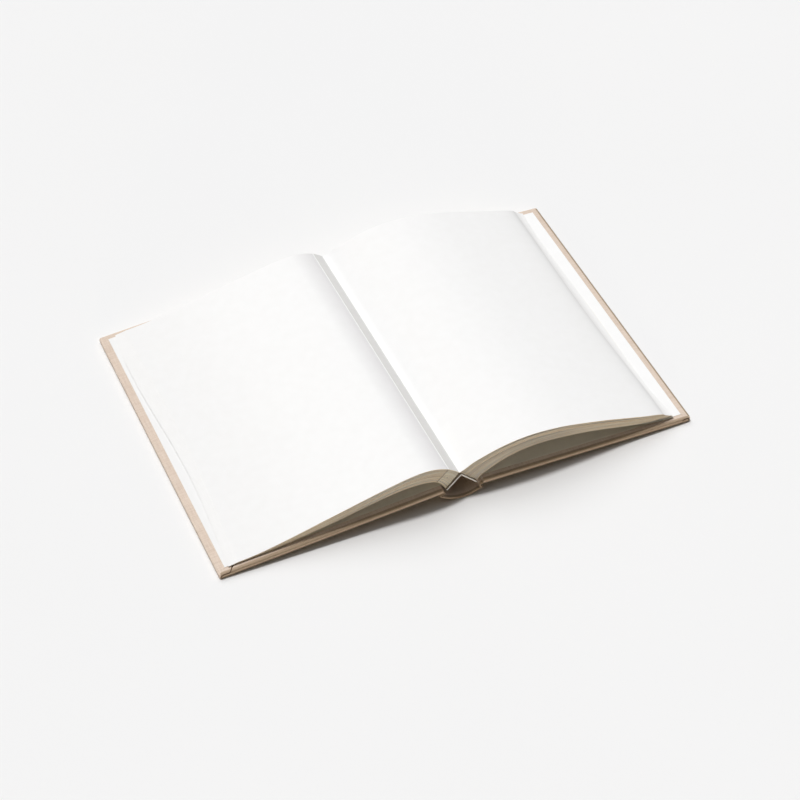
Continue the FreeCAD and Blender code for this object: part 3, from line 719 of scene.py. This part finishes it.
def covering(case):
    width, end = case["width"], case["end"]
    # samples along the tail and head, as distance from the corner, and along the fore-edge
    taus = np.concatenate([np.arange(0, 11.6, 0.15), [12.5, 15, 19, 25, 33],
                           np.linspace(41, width - CORNER_R - 3, 16),
                           np.array([-2.0, -1.2, -0.6, -0.3, -0.12, -0.05, 0.02, 0.09, 0.16, 0.24]) + width - CORNER_R,
                           width - CORNER_R + np.arange(0.34, 5.6, 0.13),
                           np.linspace(width - CORNER_R + 5.8, end - CORNER_R, 34)])
    half = CASE - CORNER_R
    ups = np.array([0, 0.1, 0.2, 0.32, 0.5, 0.8, 1.3, 2, 3, 4.5, 6.5, 9, 13, 18, 25, 33, 44, 58, 72, 88])
    fore = np.concatenate([ups - half, (half - ups)[::-1]])          # y of the fore-edge samples
    arc = np.radians(np.array([15, 30, 45, 60, 75.0]))
    nt, nf, na = len(taus), len(fore), len(arc)
    # the perimeter: tail from the spine to the corner, arc, fore-edge, arc, head back to the spine
    kind = [("tail", i) for i in range(nt)][::-1] + [("arc1", i) for i in range(na)]
    kind += [("fore", i) for i in range(nf)] + [("arc2", i) for i in range(na)] + [("head", i) for i in range(nt)]

    def place(which, i, d, h):
        """q, y for one perimeter sample at inset d."""
        m = max(d, CORNER_R)
        if which in ("tail", "head"):
            tau = taus[i]
            q = CORNER_R + tau + (m - CORNER_R) * max(0.0, 1 - tau / 40.0)
            y = -CASE + d
            return q, (y if which == "tail" else -y)
        if which == "fore":
            y0 = fore[i]
            run = half - abs(y0)
            y = half - run - (m - CORNER_R) * max(0.0, 1 - run / 40.0)
            return d, math.copysign(y, y0)
        r = max(CORNER_R - d, 0.0)
        a = arc[i] if which == "arc1" else arc[::-1][i]
        q, y = m - r * math.sin(a), CASE - m + r * math.cos(a)
        return q, (-y if which == "arc1" else y)

    pts = np.array([[float(u), float(v)] for u, v in section(np.float64(FULL))[0]])
    unrolled = lengths(pts)
    unrolled = (unrolled[TOP_EDGE + 2] + unrolled[TOP_EDGE + 3]) / 2 - unrolled
    line = np.array(case["seam"])

    def seam(q, row):
        """How far a point of the tail flap is from the end of the corner fold, and on which side of it."""
        w = unrolled[row]
        a, b = line[:-1], line[1:]
        ab = b - a
        t = np.clip(((np.array([q, w]) - a) * ab).sum(1) / (ab ** 2).sum(1), 0, 1)
        off = np.array([q, w]) - (a + ab * t[:, None])
        dist = np.linalg.norm(off, axis=1)
        k = int(dist.argmin())
        return dist[k], float(np.sign(ab[k, 0] * off[k, 1] - ab[k, 1] * off[k, 0]))

    shade = []
    outer_q, outer_y, outer_h = [], [], []
    inner_q, inner_y, inner_h = [], [], []
    index, count = {}, 0
    qs = []
    for j, (which, i) in enumerate(kind):
        q_here = CORNER_R + taus[i] if which in ("tail", "head") else 0.0
        full = float(turned_height(case, q_here)) if q_here > width - 1 else FULL
        out, ins = section(np.float64(full))
        for row in range(ROWS_IN_SECTION):
            d, h = map(float, out[row])
            di, hi = map(float, ins[row])
            merged = which in ("arc1", "arc2") and d >= SEAM - 1e-9
            if merged:
                continue
            face = 0.24 * float(1 - smooth(5, 9, row))      # the outer face, darkened as painted shade, so that the floor under the raised boards gets less bounced light
            # painted shade on the edges: the back cover's fore-edge rounding, which faces away from the light, a
            # little on the front cover's fore-edge wall, and along the tail the lower rounding, the wall and the upper
            # rounding
            if which == "fore" and case is BACK:
                dark = 0.55 * float(smooth(5, 12, row) * (1 - smooth(TOP_EDGE + 4, TOP_EDGE + 8, row)))
            elif which == "fore":
                dark = 0.12 * float(smooth(5, 10, row) * (1 - smooth(TOP_EDGE - 3, TOP_EDGE, row)))
            elif which == "tail":
                dark = 0.20 + 0.35 * float(1 - smooth(9, 14, row)) + 0.20 * float(smooth(TOP_EDGE - 4, TOP_EDGE, row))
                dark *= float(smooth(5, 9, row) * (1 - smooth(TOP_EDGE + 6, TOP_EDGE + 14, row)))
            else:
                dark = 0.0
            dark = max(dark, face)
            if row >= 12 and row < ROWS_IN_SECTION - 3 and (which == "tail" or which == "arc1") and q_here < 13:
                q_seam = place(which, i, d, h)[0]
                off, aside = seam(q_seam, row)
                # the cloth sinks into a groove along the corner seam, and is darkened along it as painted shade
                groove = math.exp(-(off / case["seam_wide"]) ** 2)
                dark = max(dark, math.exp(-(off / (case["seam_wide"] * 1.2)) ** 4))
                sink = 0.26 * groove
                if row < TOP_EDGE + 3:
                    d += sink
                else:
                    h -= sink
            q, y = place(which, i, d, h)
            qi, yi = place(which, i, di, hi)
            shade.append(dark)
            outer_q.append(q), outer_y.append(y), outer_h.append(h)
            inner_q.append(qi), inner_y.append(yi), inner_h.append(hi)
            index[j, row] = count
            count += 1
    arc1_start = nt
    arc2_start = nt + na + nf
    for j, (which, i) in enumerate(kind):
        if which in ("arc1", "arc2"):
            target = arc1_start - 1 if which == "arc1" else arc2_start - 1
            for row in range(ROWS_IN_SECTION):
                if (j, row) not in index:
                    index[j, row] = index[target, row]
    # the first fore-edge sample and the last tail sample are the same point where rows are merged
    for row in range(ROWS_IN_SECTION):
        d = float(section(np.float64(FULL))[0][row][0])
        if d >= SEAM - 1e-9:
            index[arc1_start + na, row] = index[arc1_start - 1, row]
            index[arc2_start + na, row] = index[arc2_start - 1, row]
    # the middle of the outer face
    tail_q = np.array([place("tail", i, 15.0, 0)[0] for i in range(nt)])
    fore_y = np.array([place("fore", i, 15.0, 0)[1] for i in range(nf)])
    middle = np.zeros((nt, nf), int)
    for i in range(nt):
        for k in range(nf):
            if k == 0:
                middle[i, k] = index[nt - 1 - i, 0]
            elif k == nf - 1:
                middle[i, k] = index[arc2_start + na + i, 0]
            elif i == 0:
                middle[i, k] = index[arc1_start + na + k, 0]
            else:
                # the middle of the outer face, darkened the same way as painted shade
                shade.append(0.24)
                outer_q.append(tail_q[i]), outer_y.append(fore_y[k]), outer_h.append(0.0)
                inner_q.append(tail_q[i]), inner_y.append(fore_y[k]), inner_h.append(CLOTH)
                middle[i, k] = count
                count += 1
    faces, uv = [], []
    outer = lay(case, outer_q, outer_y, outer_h)
    inner = lay(case, inner_q, inner_y, inner_h)
    oq, oy = np.array(outer_q), np.array(outer_y)

    def quad(ids, flat):
        keep, seen = [], set()
        for v, t in zip(ids, flat):
            if v not in seen:
                seen.add(v)
                keep.append((v, t))
        if len(keep) >= 3:
            faces.append([v for v, _ in keep])
            uv.append([t for _, t in keep])

    for i in range(nt - 1):
        for k in range(nf - 1):
            ids = [middle[i, k], middle[i, k + 1], middle[i + 1, k + 1], middle[i + 1, k]]
            quad(ids, [(oq[v], oy[v]) for v in ids])
    out, _ = section(np.float64(FULL))
    pts = np.array([[float(a), float(b)] for a, b in out])
    unroll = lengths(pts)
    for j in range(len(kind) - 1):
        flap = kind[j][0] if kind[j][0] == kind[j + 1][0] else ("arc")
        for row in range(ROWS_IN_SECTION - 1):
            ids = [index[j, row], index[j, row + 1], index[j + 1, row + 1], index[j + 1, row]]
            flat = []
            for v, r in zip(ids, (row, row + 1, row + 1, row)):
                if flap == "tail":
                    flat.append((oq[v], -(CASE - 15.0) - unroll[r]))
                elif flap == "head":
                    flat.append((oq[v], (CASE - 15.0) + unroll[r]))
                elif flap == "fore":
                    flat.append((15.0 - unroll[r], oy[v]))
                else:
                    flat.append((15.0 - unroll[r], oy[v] + 0.7 * oq[v]))
            quad(ids, flat)
    # the inner side, and the rim along every free edge
    n = count
    inner_faces = [[v + n for v in face[::-1]] for face in faces]
    inner_uv = [flat[::-1] for flat in uv]
    edge_of = {}
    for face, flat in zip(faces, uv):
        for a, b, ta, tb in zip(face, face[1:] + face[:1], flat, flat[1:] + flat[:1]):
            if (b, a) in edge_of:
                del edge_of[b, a]
            else:
                edge_of[a, b] = (ta, tb)
    rim, rim_uv = [], []
    for (a, b), (ta, tb) in edge_of.items():
        rim.append([b, a, a + n, b + n])
        rim_uv.append([tb, ta, (ta[0] + 0.4, ta[1]), (tb[0] + 0.4, tb[1])])
    all_faces = faces + inner_faces + rim
    all_uv = [t for flat in uv + inner_uv + rim_uv for t in flat]
    if case["sign"] < 0:
        all_faces = [f[::-1] for f in all_faces]
        all_uv = [t for flat in uv + inner_uv + rim_uv for t in flat[::-1]]
    verts = np.concatenate([outer, inner])
    obj = make(f"covering_{case['name']}", verts, all_faces, [cloth], None, all_uv, sharp=38)
    fold = obj.data.attributes.new("cloth_painted_shade", "FLOAT", "POINT")
    fold.data.foreach_set("value", np.array(shade + [0.0] * len(shade), np.float32))
    return obj


for case in (FRONT, BACK):
    piece = covering(case)
    cover = f"{case['name']}_cover"
    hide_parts(f"cover_cloth_{case['name']}", "cover_cloth_spine")
    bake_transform(piece)
    # the outer line of the cloth's section round the board's edge; it is not used further
    outline = section(np.float64(FULL))[0]


# ---------------------------------------------------------------------------
# Endpapers: the pasted-down half on each board, the strip over the joint, and the flyleaf
# ---------------------------------------------------------------------------
def pasted(case):
    """The pasted-down leaf: it dips off the turned-in cloth on to the board."""
    width = case["width"]
    m = case["margin"]
    qs = np.concatenate([m + np.array([0, 0.4, 1.0, 2.0, 4.0, 6.5]), np.arange(12.5, 19, 0.5),
                         np.linspace(22, width - 2, 22), [width - 0.9, width - 0.3, width - 0.02]])
    tail, head = -CASE + 4.5, CASE - 4.1
    ys = np.concatenate([tail + np.array([0, 0.4, 1.0, 2.5, 5.0]), np.arange(-95.2, -89, 0.5),
                         np.linspace(-86, 86, 19), np.arange(89.2, 95.4, 0.5),
                         head - np.array([5.0, 2.5, 1.0, 0.4, 0])])
    q, y = np.meshgrid(qs, ys, indexing="ij")
    inset = np.minimum(q, CASE - np.abs(y))
    over = 1 - smooth(TURN - 0.5, TURN + 1.6, inset)
    h = CLOTH + BOARD + CLOTH * over + 0.02
    ripple = 0.02 * np.sin(q * 0.11 + 1.0) * np.sin(y * 0.07)
    low = lay(case, np.minimum(q, width), y, h)
    top = lay(case, np.minimum(q, width), y, h + PASTE + ripple)
    uv = np.stack([q, y], -1)
    if case["sign"] < 0:
        verts, faces, rim, corner = closed_sheet(top[:, ::-1], low[:, ::-1], uv[:, ::-1])
    else:
        verts, faces, rim, corner = closed_sheet(top, low, uv)
    return make(f"pasted_leaf_{case['name']}", verts, faces, [paste_paper[case["name"]], end_edge], rim, corner, 40)


def margin_paper(name, painted_brightness):
    """The pasted leaf: white on its open margin, warmer further in under the leaves."""
    m, tree, bsdf = material(name)
    where = coords(tree)
    split = tree.nodes.new("ShaderNodeSeparateXYZ")
    tree.links.new(coords(tree, "UV"), split.inputs["Vector"])
    inwards = maths(tree, "MULTIPLY", split.outputs["X"], 0.02)
    tint = ramp(tree, inwards, [(0.0, (1.0, 1.0, 1.0)), (0.24, (1.0, 1.0, 1.0)), (0.6, (0.955, 0.90, 0.79))])
    cloud = ramp(tree, noise(tree, where, 160.0, 4.0), [
        (0.3, (0.93 * painted_brightness, 0.928 * painted_brightness, 0.922 * painted_brightness)), (0.7, (0.945 * painted_brightness, 0.943 * painted_brightness, 0.938 * painted_brightness))])
    tree.links.new(times(tree, cloud, tint), bsdf.inputs["Base Color"])
    bsdf.inputs["Roughness"].default_value = 0.9
    bsdf.inputs["Specular IOR Level"].default_value = 0.1
    bump(tree, bsdf, noise(tree, where, 2600.0, 5.0, (1.0, 0.45, 1.0)), 0.00002)
    return m


# the front pasted leaf is a darker copy of the back one, as painted shade
paste_paper = {"front": margin_paper("pasted_paper_front", 0.945), "back": margin_paper("pasted_paper_back", 1.0)}


def joint_strip(case, points):
    """The endpaper between the board and the foot of the leaves."""
    line = at(spline(points), np.linspace(0, 1, 22))
    tangent = np.gradient(line, axis=0)
    tangent /= np.linalg.norm(tangent, axis=1)[:, None]
    normal = np.stack([-tangent[:, 1], tangent[:, 0]], -1)
    ys = np.linspace(-CASE + 4.6, CASE - 4.2, 12)
    top = np.stack([np.stack([line[:, 0] * case["sign"], np.full(len(line), y), line[:, 1]], -1) for y in ys], 1)
    low_line = line - normal * PASTE
    low = np.stack([np.stack([low_line[:, 0] * case["sign"], np.full(len(line), y), low_line[:, 1]], -1)
                    for y in ys], 1)
    uv = np.stack([np.broadcast_to(lengths(line)[:, None], top.shape[:2]), top[..., 1]], -1)
    if case["sign"] < 0:
        top, low, uv = top[:, ::-1], low[:, ::-1], uv[:, ::-1]
    verts, faces, rim, corner = closed_sheet(top, low, uv)
    return make(f"joint_paper_{case['name']}", verts, faces, [end_paper, end_edge], rim, corner, 40)


def flyleaf(side, case, foot):
    """The free half of the endpaper, under the fan of leaves, resting on the pasted half at the fore-edge."""
    rows_top, rows_low = [], []
    a, (bx, bz) = case["tilt"], case["base"]
    for y in ROWS:
        none = np.zeros(len(S))
        line = follow(side, y, none, S, edge_x(side["edge_under"], y) + 0.3)
        if side["root"]:
            line = np.concatenate([at(side["root_curve"], ROOT), line])
        tangent = np.gradient(line, axis=0)
        tangent /= np.linalg.norm(tangent, axis=1)[:, None]
        normal = np.stack([tangent[:, 1], -tangent[:, 0]], -1)
        top = line - normal * 0.07
        rest = bz + (top[:, 0] - bx) * math.tan(a) + (FULL + PASTE + 0.22) / math.cos(a)
        drop = smooth(-118, -142, top[:, 0])
        top[:, 1] = top[:, 1] * (1 - drop) + np.minimum(top[:, 1], rest + 0.25) * drop
        low = top - normal * 0.15
        rows_top.append(np.stack([top[:, 0] * side["sign"], np.full(len(top), y), top[:, 1]], -1))
        rows_low.append(np.stack([low[:, 0] * side["sign"], np.full(len(low), y), low[:, 1]], -1))
    top, low = np.array(rows_top).transpose(1, 0, 2), np.array(rows_low).transpose(1, 0, 2)
    if side["sign"] > 0:
        top, low = top[:, ::-1], low[:, ::-1]
    uv = np.stack([np.arange(top.shape[0])[:, None] * 3.0 + 0 * top[..., 1], top[..., 1]], -1)
    verts, faces, rim, corner = closed_sheet(top, low, uv)
    return make(f"flyleaf_{case['name']}", verts, faces, [end_paper, end_edge, fore_edge], rim, corner, 40)


STRIPS = {
    "front": [(-13.98, 12.62), (-13.3, 12.5), (-12.6, 11.9), (-11.9, 10.9), (-11.2, 9.75), (-10.85, 9.3)],
    "back": [(-12.80, 9.86), (-12.2, 9.76), (-11.6, 9.35), (-11.0, 8.65), (-10.6, 8.05), (-10.35, 7.6)],
}
for case, side in ((FRONT, LEFT), (BACK, RIGHT)):
    cover = f"{case['name']}_cover"
    sheet = pasted(case)
    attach(sheet, cover)
    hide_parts(f"{case['name']}_pastedown")
    strip = joint_strip(case, STRIPS[case["name"]])
    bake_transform(strip)
    free = flyleaf(side, case, None)
    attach(free, "block")
    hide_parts(f"{case['name']}_flyleaf")


# ---------------------------------------------------------------------------
# The spine lining: one strip folded to a V under the spine of the opened leaves
# ---------------------------------------------------------------------------
def lining():
    upper = [(-10.55, 8.45), (-8.2, 10.95), (-5.6, 13.7), (-3.2, 16.25), (-1.75, 17.75), (-1.05, 18.3),
             (-0.35, 17.95), (1.1, 16.45), (3.6, 13.85), (6.4, 10.9), (8.7, 8.45), (10.2, 6.75)]
    line = at(spline(upper), np.linspace(0, 1, 70))
    tangent = np.gradient(line, axis=0)
    tangent /= np.linalg.norm(tangent, axis=1)[:, None]
    normal = np.stack([-tangent[:, 1], tangent[:, 0]], -1)
    ys = np.linspace(-105.0, 105.0, 31)
    d = lengths(line)
    rows_top, rows_low = [], []
    for y in ys:
        wave = 0.12 * np.sin(y * 0.06 + d * 0.25) * np.sin(np.clip(d / d[-1], 0, 1) * math.pi)
        up = line + normal * (wave * (line[:, 0] < -1))[:, None]
        low = line - normal * (0.86 + 0.05 * math.sin(y * 0.21))
        rows_top.append(np.stack([up[:, 0], np.full(len(up), y), up[:, 1]], -1))
        rows_low.append(np.stack([low[:, 0], np.full(len(low), y), low[:, 1]], -1))
    top, low = np.array(rows_top).transpose(1, 0, 2), np.array(rows_low).transpose(1, 0, 2)
    uv = np.stack([np.broadcast_to(d[:, None], top.shape[:2]), top[..., 1]], -1)
    verts, faces, rim, corner = closed_sheet(top, low, uv)
    return make("lining_strip", verts, faces, [shaded_lining_paper, lining_edge], rim, corner, 40)


strip = lining()
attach(strip, "block")
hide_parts("spine_lining")

for name, finish_material in (("front_board", grey_board), ("back_board", grey_board), ("spine_inlay", inlay_card)):
    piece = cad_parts[name]
    piece.data.materials.clear()
    piece.data.materials.append(finish_material)


# ---------------------------------------------------------------------------
# Floor, light, camera
# ---------------------------------------------------------------------------
m, tree, bsdf = material("floor_paper")
tree.links.new(
    ramp(tree, noise(tree, coords(tree), 3.0, 2.0), [(0.3, (0.875, 0.875, 0.875)), (0.7, (0.885, 0.885, 0.885))]),
    bsdf.inputs["Base Color"])
bsdf.inputs["Roughness"].default_value = 0.95
bsdf.inputs["Specular IOR Level"].default_value = 0.0
mesh = bpy.data.meshes.new("floor")
mesh.from_pydata([(-6, -6, 0), (6, -6, 0), (6, 6, 0), (-6, 6, 0)], [], [(0, 1, 2, 3)])
mesh.materials.append(m)
floor = bpy.data.objects.new("floor", mesh)
floor.location.z = -0.0002
scene.collection.objects.link(floor)

def sky():
    """Soft light from overhead and behind, with little of it from the camera's side."""
    world = bpy.data.worlds.new("studio")
    scene.world = world
    world.use_nodes = True
    tree = world.node_tree
    back = tree.nodes["Background"]
    split = tree.nodes.new("ShaderNodeSeparateXYZ")
    tree.links.new(coords(tree, "Generated"), split.inputs["Vector"])
    lean = maths(tree, "ADD", split.outputs["Z"], maths(tree, "MULTIPLY", split.outputs["Y"], 0.45))
    tree.links.new(
        ramp(tree, lean, [(0.0, (0.03, 0.024, 0.016)), (0.45, (0.11, 0.09, 0.06)), (0.95, (1.0, 1.0, 1.0))]),
        back.inputs["Color"])
    back.inputs["Strength"].default_value = SKY


def sun(name, towards, power, angle, colour=(1, 1, 1)):
    """A far soft light whose direction is given as the vector from the book to it."""
    lamp = bpy.data.lights.new(name, "SUN")
    lamp.energy = power
    lamp.angle = math.radians(angle)
    lamp.color = colour
    obj = bpy.data.objects.new(name, lamp)
    obj.rotation_euler = Vector(towards).to_track_quat("Z", "Y").to_euler()
    obj.location = Vector(towards).normalized() * 2
    scene.collection.objects.link(obj)


SKY = 0.38
sky()
sun("key", (-0.13, 0.23, 1.0), 1.62, 7, (0.998, 1.0, 1.005))
sun("fill", (-0.05, 0.70, 1.0), 1.22, 50, (0.995, 1.0, 1.01))
sun("low", (-0.30, -1.0, 0.05), 0.50, 5, (1.0, 0.79, 0.53))

# the camera of the picture: right, down and forward as rows, and its place in mm
VIEW = np.array([[0.9114293, -0.4113394, 0.009828],
                 [-0.2920615, -0.6635936, -0.688726],
                 [0.2898219, 0.6248547, -0.7249551]])
EYE = (-409.99, -897.595, 1020.399)
lens = bpy.data.cameras.new("camera")
lens.sensor_width = 36.0
lens.lens = 100.079
lens.clip_start = 0.05
lens.clip_end = 20.0
camera = bpy.data.objects.new("camera", lens)
turn = Matrix([list(VIEW[0]), list(-VIEW[1]), list(-VIEW[2])]).transposed().to_4x4()
camera.matrix_world = Matrix.Translation(Vector(EYE) * MM) @ turn
scene.collection.objects.link(camera)
scene.camera = camera
scene.view_settings.view_transform = "Standard"
